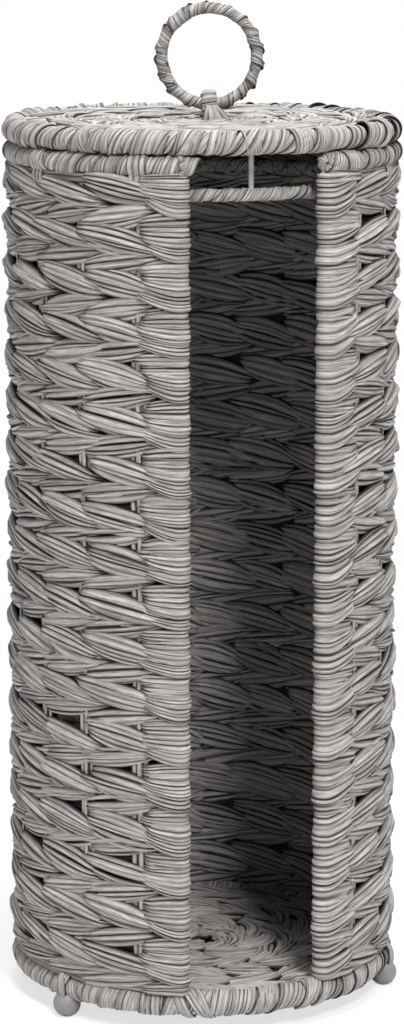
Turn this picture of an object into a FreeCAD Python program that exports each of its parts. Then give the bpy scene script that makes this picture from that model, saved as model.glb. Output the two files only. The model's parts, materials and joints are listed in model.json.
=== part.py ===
"""Toilet roll storage holder: a woven round canister on a wire frame, with a front slot, a lift-off lid
with a ring handle, and three ball feet. Millimetres, +Z up, the origin on the floor under the middle,
the slot facing -Y."""

import FreeCAD
import Part
import Sketcher

import math
import os

# Driving dimensions, one row of the sheet each. A width is a wound tube's outside diameter, a wire is a
# diameter, and every radius runs from the axis of the canister, or of the ring, to the middle of the wire.
# Angles are in degrees from the middle of the slot, seen from above.
DIMENSIONS = [
    ("wall_radius", 77.9, "middle of the woven wall, where the stakes stand"),
    ("wall_thickness", 8.6, "woven wall, inside to outside"),
    ("course_count", 18, "courses of weaving between the two rims"),
    ("course_edge_round", 2.0, "rounding of a course's upper and lower edges"),
    ("stake_wire", 3.2, "thin uprights in the wall"),
    ("stake_count", 17, "thin uprights, one of them at the back"),
    ("first_stake_angle", 35.2, "first stake on each side of the slot"),
    ("post_wire", 4.0, "heavier uprights at the slot's edges"),
    ("post_angle", 23.5, "each slot post from the middle of the slot"),
    ("wire_clearance", 0.05, "between a wire and what is wound or woven round it"),
    ("base_hoop_radius", 76.6, "bottom ring"),
    ("base_hoop_height", 12.3, "bottom ring's middle above the floor"),
    ("base_hoop_wire", 3.2, "bottom ring's wire"),
    ("base_binding_width", 10.8, "ribbon wound round the bottom ring"),
    ("base_hub_radius", 9.5, "small ring in the middle of the base"),
    ("base_hub_wire", 3.2, "its wire"),
    ("base_spoke_wire", 2.4, "spokes of the base"),
    ("base_panel_thickness", 7.0, "woven base"),
    ("top_hoop_radius", 78.4, "rim ring, open at the slot"),
    ("top_hoop_height", 358.35, "rim ring's middle above the floor"),
    ("top_hoop_wire", 3.2, "rim ring's wire"),
    ("top_binding_width", 8.4, "ribbon wound round the rim ring"),
    ("lid_hoop_radius", 77.7, "lid's outer ring"),
    ("lid_hoop_wire", 3.2, "its wire"),
    ("lid_binding_width", 9.6, "ribbon wound round the lid's outer ring"),
    ("lid_seat_gap", 0.3, "between the two wound rims where the lid sits"),
    ("lid_hub_radius", 9.5, "small ring in the middle of the lid"),
    ("lid_hub_wire", 3.2, "its wire"),
    ("lid_spoke_wire", 2.4, "spokes of the lid"),
    ("lid_panel_thickness", 7.0, "woven top"),
    ("spoke_count", 8, "spokes of the base, and of the lid"),
    ("panel_gap", 0.1, "between a woven disc and the wound rim round it"),
    ("plug_hoop_radius", 68.0, "locating ring under the lid"),
    ("plug_hoop_drop", 21.5, "locating ring below the lid's outer ring"),
    ("plug_hoop_wire", 2.8, "its wire"),
    ("plug_binding_width", 5.5, "ribbon wound round the locating ring"),
    ("hanger_count", 4, "wires that hold the locating ring, each under a spoke"),
    ("hanger_wire", 2.2, "their wire, thinner than the spoke that it meets"),
    ("handle_radius", 19.75, "ring handle"),
    ("handle_wire", 3.0, "its wire"),
    ("handle_binding_width", 5.5, "ribbon wound round the ring handle"),
    ("handle_turn", 16.2, "how far the ring handle is turned away from the slot"),
    ("handle_offset", 3.0, "ring handle's pivot sideways from the middle of the lid"),
    ("handle_pivot_rise", 9.85, "pivot above the lid's outer ring"),
    ("staple_wire", 3.2, "wrapped loop that ties the ring handle to the lid"),
    ("staple_clearance", 0.4, "between the loop and the ring handle in it"),
    ("foot_width", 11.6, "ball foot"),
    ("foot_flat_depth", 0.5, "flat under a ball foot"),
    ("foot_angle", 62.0, "each front foot from the middle of the slot"),
    ("foot_wire", 3.2, "wire that carries a ball foot"),
    ("foot_wrap_width", 5.6, "ribbon wound round that wire"),
]

# Angles of the whole turn, the quarter turn, and the back of the canister, opposite the slot.
TURN = "360"
QUARTER = "90"
BACK = "180"

# Heights and pitches that follow from the driving dimensions, as expressions of the sheet.
WALL_FOOT = "(sizes.base_hoop_height + sizes.base_binding_width / 2)"
WALL_HEAD = "(sizes.top_hoop_height - sizes.top_binding_width / 2)"
COURSE_PITCH = f"(({WALL_HEAD} - {WALL_FOOT}) / sizes.course_count)"
WALL_INSIDE = "(sizes.wall_radius - sizes.wall_thickness / 2)"
WALL_OUTSIDE = "(sizes.wall_radius + sizes.wall_thickness / 2)"
WALL_SWEEP = f"({TURN} - 2 * sizes.post_angle)"
STAKE_SWEEP = f"({TURN} - 2 * sizes.first_stake_angle)"
STAKE_STEP = f"({STAKE_SWEEP} / (sizes.stake_count - 1))"
STAKE_FOOT = "(sizes.base_hoop_height + sizes.base_hoop_wire / 2 + sizes.wire_clearance)"
STAKE_HEAD = "(sizes.top_hoop_height - sizes.top_hoop_wire / 2 - sizes.wire_clearance)"
SEAT = "((sizes.lid_binding_width + sizes.top_binding_width) / 2 + sizes.lid_seat_gap)"
SEAT_STEP = "(sizes.top_hoop_radius - sizes.lid_hoop_radius)"
LID_HEIGHT = f"(sizes.top_hoop_height + sqrt({SEAT} ^ 2 - {SEAT_STEP} ^ 2))"
PLUG_HEIGHT = f"({LID_HEIGHT} - sizes.plug_hoop_drop)"
PIVOT_HEIGHT = f"({LID_HEIGHT} + sizes.handle_pivot_rise)"
FOOT_RADIUS = "(sizes.base_hoop_radius + (sizes.base_hoop_wire + sizes.foot_wire) / 2 + sizes.wire_clearance)"
FOOT_CENTRE = "(sizes.foot_width / 2 - sizes.foot_flat_depth)"
FOOT_HEAD = "(sizes.base_hoop_height + sizes.base_hoop_wire / 2)"

doc = FreeCAD.newDocument("roll_holder")
sheet = doc.addObject("Spreadsheet::Sheet", "sizes")
subparts = []


def fill_sheet():
    """Writes the driving dimensions: name, value with its alias, and what it measures."""
    for row, (alias, value, meaning) in enumerate(DIMENSIONS, start=1):
        sheet.set(f"A{row}", alias)
        sheet.set(f"B{row}", str(value))
        sheet.setAlias(f"B{row}", alias)
        sheet.set(f"C{row}", meaning)
    doc.recompute()


def size(alias):
    """A driving dimension as a number, for counts and for a sketch's first guess."""
    return float(sheet.get(alias))


def count(alias):
    return int(size(alias))


def radius_of(width):
    return f"({width} / 2)"


def eased(width):
    """Radius of the channel that a wire of this diameter runs in."""
    return f"({width} / 2 + sizes.wire_clearance)"


def placed(x="0", y="0", z="0", yaw="0", pitch="0", roll="0"):
    return f"placement(vector({x}; {y}; {z}); rotation({yaw}; {pitch}; {roll}))"


def round_the_axis(radius, angle, z, roll="0"):
    """A place at this angle from the middle of the slot. Rolled a quarter turn, its +Z points outwards."""
    return placed(f"{radius} * sin({angle})", f"-{radius} * cos({angle})", z, yaw=angle, roll=roll)


def add(kind, name, place=None, **properties):
    """One object of the document with its properties bound to the sheet."""
    thing = doc.addObject(kind, name)
    for key, expression in properties.items():
        thing.setExpression(key, expression)
    if place:
        thing.setExpression("Placement", place)
    return thing


def subpart(thing, label):
    thing.Label = label
    subparts.append(thing)
    return thing


def ring(name, radius, tube, z):
    return add("Part::Torus", name, placed(z=z), Radius1=radius, Radius2=tube)


def group(name, members):
    compound = doc.addObject("Part::Compound", name)
    compound.Links = members
    return compound


def cut_away(name, base, tools):
    """base with each tool cut away in turn. The last cut carries the name."""
    for number, tool in enumerate(tools, start=1):
        last = number == len(tools)
        cut = doc.addObject("Part::Cut", name if last else f"{name}_cut_{number}")
        cut.Base = base
        cut.Tool = tool
        base = cut
    return base


def origin_part(body, role):
    return next(item for item in body.Origin.OriginFeatures if item.Role == role)


def new_sketch(body, name):
    sketch = body.newObject("Sketcher::SketchObject", name)
    sketch.AttachmentSupport = [(origin_part(body, "XY_Plane"), "")]
    sketch.MapMode = "FlatFace"
    return sketch


def bind(sketch, name, expression, *constraint):
    """Adds a dimension to a sketch and ties it to the sheet."""
    index = sketch.addConstraint(Sketcher.Constraint(*constraint))
    sketch.renameConstraint(index, name)
    sketch.setExpression(f"Constraints.{name}", expression)


def stake_angle(number):
    return f"(sizes.first_stake_angle + {number} * {STAKE_STEP})"


def wall_uprights():
    """The thin stakes and the two slot posts, standing on the bottom ring and reaching up to the rim ring."""
    height = f"({STAKE_HEAD} - {STAKE_FOOT})"
    for number in range(count("stake_count")):
        name = f"stake_{number + 1:02d}"
        place = round_the_axis("sizes.wall_radius", stake_angle(number), STAKE_FOOT)
        wire = radius_of("sizes.stake_wire")
        subpart(add("Part::Cylinder", name, place, Radius=wire, Height=height), name)
    for name, angle in (("slot_post_right", "sizes.post_angle"), ("slot_post_left", "(-sizes.post_angle)")):
        place = round_the_axis("sizes.wall_radius", angle, STAKE_FOOT)
        wire = radius_of("sizes.post_wire")
        subpart(add("Part::Cylinder", name, place, Radius=wire, Height=height), name)


def upright_channels():
    """The channels that the uprights run in, from the bottom ring's middle to the rim ring's."""
    foot = "sizes.base_hoop_height"
    height = f"(sizes.top_hoop_height - {foot})"
    channels = []
    for number in range(count("stake_count")):
        place = round_the_axis("sizes.wall_radius", stake_angle(number), foot)
        name = f"stake_channel_{number + 1:02d}"
        channels.append(add("Part::Cylinder", name, place, Radius=eased("sizes.stake_wire"), Height=height))
    for name, angle in (("right", "sizes.post_angle"), ("left", "(-sizes.post_angle)")):
        place = round_the_axis("sizes.wall_radius", angle, foot)
        name = f"post_channel_{name}"
        channels.append(add("Part::Cylinder", name, place, Radius=eased("sizes.post_wire"), Height=height))
    return group("upright_channels", channels)


def course_outline(sketch):
    """A C seen from above: two arcs about the axis, joined round each slot post by a half circle."""
    middle = FreeCAD.Vector()
    up = FreeCAD.Vector(0, 0, 1)
    half = size("wall_thickness") / 2
    inside = size("wall_radius") - half
    outside = size("wall_radius") + half
    right = math.radians(size("post_angle") - 90)
    left = math.radians(270 - size("post_angle"))
    outer = sketch.addGeometry(Part.ArcOfCircle(Part.Circle(middle, up, outside), right, left))
    inner = sketch.addGeometry(Part.ArcOfCircle(Part.Circle(middle, up, inside), right, left))
    for name, arc in (("outside", outer), ("inside", inner)):
        sketch.addConstraint(Sketcher.Constraint("Coincident", arc, 3, -1, 1))
        reach = WALL_OUTSIDE if arc == outer else WALL_INSIDE
        bind(sketch, name, reach, "Radius", arc, outside if arc == outer else inside)
    for name, angle, end in (("right", right, 1), ("left", left, 2)):
        way = FreeCAD.Vector(math.cos(angle), math.sin(angle), 0)
        spoke = sketch.addGeometry(Part.LineSegment(middle, way * outside), True)
        turn = Part.Circle(way * size("wall_radius"), up, half)
        first = angle if name == "left" else angle + math.pi
        cap = sketch.addGeometry(Part.ArcOfCircle(turn, first, first + math.pi))
        outer_end, inner_end = (1, 2) if name == "left" else (2, 1)
        sketch.addConstraint(Sketcher.Constraint("Coincident", spoke, 1, -1, 1))
        sketch.addConstraint(Sketcher.Constraint("Coincident", spoke, 2, outer, end))
        sketch.addConstraint(Sketcher.Constraint("PointOnObject", inner, end, spoke))
        sketch.addConstraint(Sketcher.Constraint("Coincident", cap, outer_end, outer, end))
        sketch.addConstraint(Sketcher.Constraint("Coincident", cap, inner_end, inner, end))
        sketch.addConstraint(Sketcher.Constraint("PointOnObject", cap, 3, spoke))
        ends = (-1, 1, spoke, 2) if name == "right" else (spoke, 2, -1, 1)
        reach = outside * math.sin(math.radians(size("post_angle")))
        bind(sketch, name, f"{WALL_OUTSIDE} * sin(sizes.post_angle)", "DistanceX", *ends, reach)


def end_edges(pad):
    """Names of the edges round a pad's two flat ends, its only flat faces."""
    ends = [face for face in pad.Shape.Faces if isinstance(face.Surface, Part.Plane)]
    outline = [edge for face in ends for edge in face.Edges]
    names = []
    for number, edge in enumerate(pad.Shape.Edges, start=1):
        if any(edge.isSame(other) for other in outline):
            names.append(f"Edge{number}")
    return names


def course_pad(number):
    """The plain band of one course of weaving, at its height in the wall."""
    name = f"wall_course_{number + 1:02d}"
    body = doc.addObject("PartDesign::Body", f"{name}_band")
    sketch = new_sketch(body, f"{name}_outline")
    course_outline(sketch)
    pad = body.newObject("PartDesign::Pad", f"{name}_pad")
    pad.Profile = sketch
    pad.setExpression("Length", COURSE_PITCH)
    body.setExpression("Placement", placed(z=f"{WALL_FOOT} + {number} * {COURSE_PITCH}"))
    return name, body, pad


def wall(channels):
    """The courses of weaving, with rounded edges, bored for the uprights."""
    bands = [course_pad(number) for number in range(count("course_count"))]
    doc.recompute()
    for name, body, pad in bands:
        fillet = body.newObject("PartDesign::Fillet", f"{name}_round")
        fillet.Base = (pad, end_edges(pad))
        fillet.setExpression("Radius", "sizes.course_edge_round")
        subpart(cut_away(name, body, [channels]), name)


def spokes(name, hub, hoop, wire, z):
    """A wheel's spokes, from its hub ring to its hoop."""
    step = f"({TURN} / sizes.spoke_count)"
    wires = []
    for number in range(count("spoke_count")):
        place = round_the_axis(hub, f"({number} * {step})", z, roll=QUARTER)
        part = f"{name}_{number + 1}"
        wires.append(add("Part::Cylinder", part, place, Radius=wire, Height=f"({hoop} - {hub})"))
    return group(name, wires)


def wheel(kind, z):
    """A wire wheel: its hoop, hub and spokes, each a sub-part, and the channels that they run in."""
    hoop = f"sizes.{kind}_hoop_radius"
    hub = f"sizes.{kind}_hub_radius"
    hoop_wire = f"sizes.{kind}_hoop_wire"
    hub_wire = f"sizes.{kind}_hub_wire"
    spoke_wire = f"sizes.{kind}_spoke_wire"
    subpart(ring(f"{kind}_hoop", hoop, radius_of(hoop_wire), z), f"{kind}_hoop")
    subpart(ring(f"{kind}_hub", hub, radius_of(hub_wire), z), f"{kind}_hub")
    first = f"({hub} + {hub_wire} / 2 + sizes.wire_clearance)"
    last = f"({hoop} - {hoop_wire} / 2 - sizes.wire_clearance)"
    subpart(spokes(f"{kind}_spokes", first, last, radius_of(spoke_wire), z), f"{kind}_spokes")
    hoop_channel = ring(f"{kind}_hoop_channel", hoop, eased(hoop_wire), z)
    hub_channel = ring(f"{kind}_hub_channel", hub, eased(hub_wire), z)
    spoke_channels = spokes(f"{kind}_spoke_channels", hub, hoop, eased(spoke_wire), z)
    return hoop_channel, hub_channel, spoke_channels


def woven_disc(kind, z, tools):
    """A wheel's woven panel, filling it up to the wound rim."""
    name = f"{kind}_panel"
    thickness = f"sizes.{kind}_panel_thickness"
    reach = f"(sizes.{kind}_hoop_radius - sizes.{kind}_binding_width / 2 - sizes.panel_gap)"
    underside = placed(z=f"{z} - {thickness} / 2")
    disc = add("Part::Cylinder", f"{name}_disc", underside, Radius=reach, Height=thickness)
    subpart(cut_away(name, disc, tools), name)


def feet():
    """Ball feet on wires along the outside of the bottom ring. Returns what they cut from its winding."""
    wires, wraps, notches, pockets = [], [], [], []
    hoop_wire = eased("sizes.base_hoop_wire")
    hoop_room = ring("foot_hoop_room", "sizes.base_hoop_radius", hoop_wire, "sizes.base_hoop_height")
    places = (("left", "(-sizes.foot_angle)"), ("right", "sizes.foot_angle"), ("rear", BACK))
    for side, angle in places:
        name = f"foot_{side}"
        centre = round_the_axis(FOOT_RADIUS, angle, FOOT_CENTRE)
        floor = round_the_axis(FOOT_RADIUS, angle, "0")
        height = f"({FOOT_HEAD} - {FOOT_CENTRE})"
        cap = f"(-asin({FOOT_CENTRE} / (sizes.foot_width / 2)))"
        ball = add("Part::Sphere", f"{name}_ball", centre, Radius=radius_of("sizes.foot_width"), Angle1=cap)
        bore = add("Part::Cylinder", f"{name}_bore", centre, Radius=eased("sizes.foot_wire"), Height=height)
        subpart(cut_away(name, ball, [bore]), name)
        wire = radius_of("sizes.foot_wire")
        wires.append(add("Part::Cylinder", f"{name}_wire", centre, Radius=wire, Height=height))
        wrap = radius_of("sizes.foot_wrap_width")
        sleeve = add("Part::Cylinder", f"{name}_sleeve", centre, Radius=wrap, Height=height)
        pocket = add("Part::Sphere", f"{name}_pocket", centre, Radius=eased("sizes.foot_width"))
        wraps.append(cut_away(f"{name}_wrap", sleeve, [bore, pocket, hoop_room]))
        room = eased("sizes.foot_wrap_width")
        notch_height = f"({FOOT_HEAD} + sizes.wire_clearance)"
        notches.append(add("Part::Cylinder", f"{name}_notch", floor, Radius=room, Height=notch_height))
        pockets.append(pocket)
    subpart(group("foot_wires", wires), "foot_wires")
    subpart(group("foot_wraps", wraps), "foot_wraps")
    return group("foot_notches", notches), group("foot_pockets", pockets)


def winding(name, radius, width, z, tools):
    """Ribbon wound round a ring, with the ring and whatever joins it cut away."""
    subpart(cut_away(name, ring(f"{name}_tube", radius, radius_of(width), z), tools), name)


def open_ring(name, tube):
    """The rim ring or its channel: a C from slot post to slot post."""
    start = f"(sizes.post_angle - {QUARTER})"
    place = placed(z="sizes.top_hoop_height", yaw=start)
    return add("Part::Torus", name, place, Radius1="sizes.top_hoop_radius", Radius2=tube, Angle3=WALL_SWEEP)


def rim(channels):
    """The rim ring and its winding, which closes over each end of the ring in a round knob."""
    subpart(open_ring("top_hoop", radius_of("sizes.top_hoop_wire")), "top_hoop")
    tube = radius_of("sizes.top_binding_width")
    pieces = [open_ring("top_binding_tube", tube)]
    for side, angle in (("right", "sizes.post_angle"), ("left", "(-sizes.post_angle)")):
        place = round_the_axis("sizes.top_hoop_radius", angle, "sizes.top_hoop_height")
        pieces.append(add("Part::Sphere", f"top_binding_knob_{side}", place, Radius=tube))
    whole = doc.addObject("Part::MultiFuse", "top_binding_whole")
    whole.Shapes = pieces
    hoop_channel = open_ring("top_hoop_channel", eased("sizes.top_hoop_wire"))
    subpart(cut_away("top_binding", whole, [hoop_channel, channels]), "top_binding")


def hangers(name, wire, low, high):
    step = f"({TURN} / sizes.hanger_count)"
    wires = []
    for number in range(count("hanger_count")):
        place = round_the_axis("sizes.plug_hoop_radius", f"({number} * {step})", low)
        part = f"{name}_{number + 1}"
        wires.append(add("Part::Cylinder", part, place, Radius=wire, Height=f"({high} - {low})"))
    return group(name, wires)


def locating_ring():
    """The wound ring that drops into the mouth, hung on bare wires. Returns the wires' channels in the lid."""
    low = f"({PLUG_HEIGHT} + sizes.plug_hoop_wire / 2 + sizes.wire_clearance)"
    high = f"({LID_HEIGHT} - sizes.lid_spoke_wire / 2 - sizes.wire_clearance)"
    wire = radius_of("sizes.hanger_wire")
    subpart(hangers("plug_hangers", wire, low, high), "plug_hangers")
    channels = hangers("plug_hanger_channels", eased("sizes.hanger_wire"), PLUG_HEIGHT, LID_HEIGHT)
    core = radius_of("sizes.plug_hoop_wire")
    subpart(ring("plug_hoop", "sizes.plug_hoop_radius", core, PLUG_HEIGHT), "plug_hoop")
    room = ring("plug_hoop_channel", "sizes.plug_hoop_radius", eased("sizes.plug_hoop_wire"), PLUG_HEIGHT)
    winding("plug_binding", "sizes.plug_hoop_radius", "sizes.plug_binding_width", PLUG_HEIGHT, [room, channels])
    return channels


def handle_place(out="0", rise="0", yaw="0", roll="0"):
    """A place by the handle's pivot: out towards where the ring faces, and up."""
    x = f"sizes.handle_offset * cos(sizes.handle_turn) - {out} * sin(sizes.handle_turn)"
    y = f"-sizes.handle_offset * sin(sizes.handle_turn) - {out} * cos(sizes.handle_turn)"
    return placed(x, y, f"{PIVOT_HEIGHT} + {rise}", yaw=yaw, roll=roll)


def handle():
    """The ring handle, standing upright, and the loop that it swings in. Returns its channels in the lid."""
    up = handle_place(rise="sizes.handle_radius", yaw="(-sizes.handle_turn)", roll=QUARTER)
    core = radius_of("sizes.handle_wire")
    hoop = add("Part::Torus", "handle_hoop", up, Radius1="sizes.handle_radius", Radius2=core)
    subpart(hoop, "handle_hoop")
    tube_radius = radius_of("sizes.handle_binding_width")
    tube = add("Part::Torus", "handle_tube", up, Radius1="sizes.handle_radius", Radius2=tube_radius)
    core_room = eased("sizes.handle_wire")
    room = add("Part::Torus", "handle_room", up, Radius1="sizes.handle_radius", Radius2=core_room)
    subpart(cut_away("handle_binding", tube, [room]), "handle_binding")
    arch = "((sizes.handle_binding_width + sizes.staple_wire) / 2 + sizes.staple_clearance)"
    wire = radius_of("sizes.staple_wire")
    over = handle_place(yaw=f"(-{QUARTER} - sizes.handle_turn)", roll=QUARTER)
    bow = add("Part::Torus", "staple_bow", over, Radius1=arch, Radius2=wire, Angle3=BACK)
    length = "(sizes.handle_pivot_rise + sizes.lid_panel_thickness / 2)"
    pieces, channels = [bow], []
    for side, out in (("front", arch), ("rear", f"(-{arch})")):
        place = handle_place(out=out, rise=f"(-{length})")
        pieces.append(add("Part::Cylinder", f"staple_{side}_leg", place, Radius=wire, Height=length))
        room = eased("sizes.staple_wire")
        channels.append(add("Part::Cylinder", f"staple_{side}_channel", place, Radius=room, Height=length))
    staple = doc.addObject("Part::MultiFuse", "handle_staple")
    staple.Shapes = pieces
    subpart(staple, "handle_staple")
    return group("staple_channels", channels)


def build():
    fill_sheet()
    wall_uprights()
    channels = upright_channels()
    wall(channels)
    rim(channels)
    base = "sizes.base_hoop_height"
    hoop_channel, hub_channel, spoke_channels = wheel("base", base)
    foot_notches, foot_pockets = feet()
    tools = [hoop_channel, channels, spoke_channels, foot_notches, foot_pockets]
    winding("base_binding", "sizes.base_hoop_radius", "sizes.base_binding_width", base, tools)
    woven_disc("base", base, [hub_channel, spoke_channels])
    hoop_channel, hub_channel, spoke_channels = wheel("lid", LID_HEIGHT)
    tools = [hoop_channel, spoke_channels]
    winding("lid_binding", "sizes.lid_hoop_radius", "sizes.lid_binding_width", LID_HEIGHT, tools)
    hanger_channels = locating_ring()
    staple_channels = handle()
    woven_disc("lid", LID_HEIGHT, [hub_channel, spoke_channels, hanger_channels, staple_channels])
    doc.recompute()


def check():
    """Stops if any object of the document failed, or a sub-part has no sound shape."""
    for thing in doc.Objects:
        if "Invalid" in thing.State or "Error" in thing.State:
            raise RuntimeError(f"{thing.Label} failed: {thing.State}")
    for thing in subparts:
        if thing.Shape.isNull() or not thing.Shape.isValid() or not thing.Shape.Solids:
            raise RuntimeError(f"{thing.Label} has no valid solid")


def export():
    os.makedirs("parts", exist_ok=True)
    for thing in subparts:
        thing.Shape.exportStep(os.path.join("parts", f"{thing.Label}.step"))
        print(f"{thing.Label}: {len(thing.Shape.Solids)} solids, {thing.Shape.Volume:.1f} mm3")


build()
check()
export()
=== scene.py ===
import json
import math

import bpy
import numpy as np
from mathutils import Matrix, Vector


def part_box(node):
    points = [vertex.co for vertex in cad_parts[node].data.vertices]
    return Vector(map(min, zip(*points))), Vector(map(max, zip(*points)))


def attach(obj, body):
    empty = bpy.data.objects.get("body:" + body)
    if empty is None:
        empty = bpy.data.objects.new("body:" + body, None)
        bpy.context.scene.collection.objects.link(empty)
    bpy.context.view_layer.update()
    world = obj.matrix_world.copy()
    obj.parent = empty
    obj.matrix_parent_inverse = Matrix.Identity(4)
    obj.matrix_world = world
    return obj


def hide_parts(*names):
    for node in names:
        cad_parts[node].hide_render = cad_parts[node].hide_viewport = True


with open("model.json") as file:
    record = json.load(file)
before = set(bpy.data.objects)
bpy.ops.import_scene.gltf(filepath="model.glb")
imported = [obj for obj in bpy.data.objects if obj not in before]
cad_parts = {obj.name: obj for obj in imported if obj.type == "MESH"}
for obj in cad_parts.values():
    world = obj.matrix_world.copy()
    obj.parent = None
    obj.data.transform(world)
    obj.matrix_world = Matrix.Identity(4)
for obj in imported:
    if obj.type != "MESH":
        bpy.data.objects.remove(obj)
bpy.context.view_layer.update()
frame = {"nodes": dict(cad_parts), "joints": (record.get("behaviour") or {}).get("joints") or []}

# A round wicker canister. Ribbons of creped paper are twined round the upright wires,
# wound on every rim and woven across the base and the lid. All sizes are in metres.
MM = 0.001
UP = np.array([0.0, 0.0, 1.0])
FULL_TURN = 2.0 * math.pi


def ease(share):
    """A smooth step from 0 to 1."""
    share = np.clip(share, 0.0, 1.0)
    return share * share * (3.0 - 2.0 * share)


def unit(vectors):
    return vectors / np.linalg.norm(vectors, axis=-1, keepdims=True)


def column(values):
    """Numbers along a path, ready to multiply its points."""
    return np.asarray(values)[:, None]


def running(values):
    return np.concatenate([[0.0], np.cumsum(values)])


def lengths_along(points):
    """How far along a path each of its points lies."""
    return running(np.linalg.norm(np.diff(points, axis=0), axis=1))


def square_to(along, outward):
    """The outward directions, turned square to a path."""
    return unit(outward - np.sum(outward * along, axis=1, keepdims=True) * along)


def polar(angle, radius, height):
    """Points round the axis. The angle is 0 in the middle of the slot and grows towards +X."""
    angle, radius, height = np.broadcast_arrays(angle, radius, height)
    return np.stack([radius * np.sin(angle), -radius * np.cos(angle), height], axis=-1)


def outward_at(angle):
    """The direction straight out from the axis."""
    return polar(angle, 1.0, 0.0)


def swing(turn, first, second):
    """Directions that turn from the first one towards the second."""
    return column(np.cos(turn)) * first + column(np.sin(turn)) * second


# Sizes that the frame gives

def ring_of(node):
    """Radius, height and half thickness of a CAD ring that lies level round the axis."""
    low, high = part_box(node)
    half = (high.z - low.z) / 2
    return (high.x - low.x) / 2 - half, (low.z + high.z) / 2, half


def bearing(node):
    """The angle at which an upright stands, from the middle of the slot."""
    low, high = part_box(node)
    middle = (low + high) / 2
    return math.atan2(middle.x, -middle.y)


def nodes_named(start):
    return sorted(name for name in frame["nodes"] if name.startswith(start))


STAKES = nodes_named("stake_")
STAKE_ANGLES = sorted(bearing(name) for name in STAKES if bearing(name) > 0.0)[:len(STAKES) // 2]
STAKE_STEP = STAKE_ANGLES[1] - STAKE_ANGLES[0]
STAKE_LOW, STAKE_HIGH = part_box(STAKES[0])
STAKE_RADIUS = (STAKE_HIGH.x - STAKE_LOW.x) / 2
POST_ANGLE = bearing("slot_post_right")
POST_LOW, POST_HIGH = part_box("slot_post_right")
WALL_RADIUS = math.hypot((POST_LOW.x + POST_HIGH.x) / 2, (POST_LOW.y + POST_HIGH.y) / 2)
COURSES = nodes_named("wall_course_")
COURSE_LEVELS = [(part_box(name)[0].z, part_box(name)[1].z) for name in COURSES]
COURSE_LOW, COURSE_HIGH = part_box(COURSES[0])
WALL_HALF = (COURSE_HIGH.x - COURSE_LOW.x) / 2 - WALL_RADIUS
HANDLE_JOINT = next(joint for joint in frame["joints"] if joint["name"] == "handle_swing")
HANDLE_PIVOT = np.array(HANDLE_JOINT["pos_m"])
HANDLE_SIDE = np.array(HANDLE_JOINT["axis"])
HANDLE_FRONT = np.cross(HANDLE_SIDE, UP)


# Pleated ribbons

# Places across one fold, and how round it is there: 0 in the creases, 1 on the crest. Where it is less
# round, the ribbon gets more painted shade.
FOLD_STEP_SHARES = np.array([0.0, 0.07, 0.22, 0.5, 0.78, 0.93])
FOLD_POWER = 2.2
FOLD_ROUND = 1.0 - np.abs(2.0 * FOLD_STEP_SHARES - 1.0) ** FOLD_POWER
FOLD_WIDTH_SHARES = (0.55, 1.45)
FOLD_DRIFT_SHARE = 0.15
FOLD_WAVES = (2.0, 4.5)
FOLD_LEANS = (0.1, 0.5)
FOLD_CRESTS = (0.6, 1.2)
CREASE_DEPTHS = (0.35, 1.0)
CREASE_TOP = 0.6
CREASE_DROP = 0.9
# Painted shade towards each ribbon's edges, where it meets the ribbons beside it: how strong it is, and how
# close to the edge it stays
EDGE_SHADE_SHARE = 0.8
EDGE_SHADE_POWER = 6
# Places across a ribbon's plain back
UNDER_SHARES = np.array([0.92, 0.0, -0.92])
GRAIN_SEEDS = (0.0, 100.0)
THICKNESS = 0.6 * MM


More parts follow.
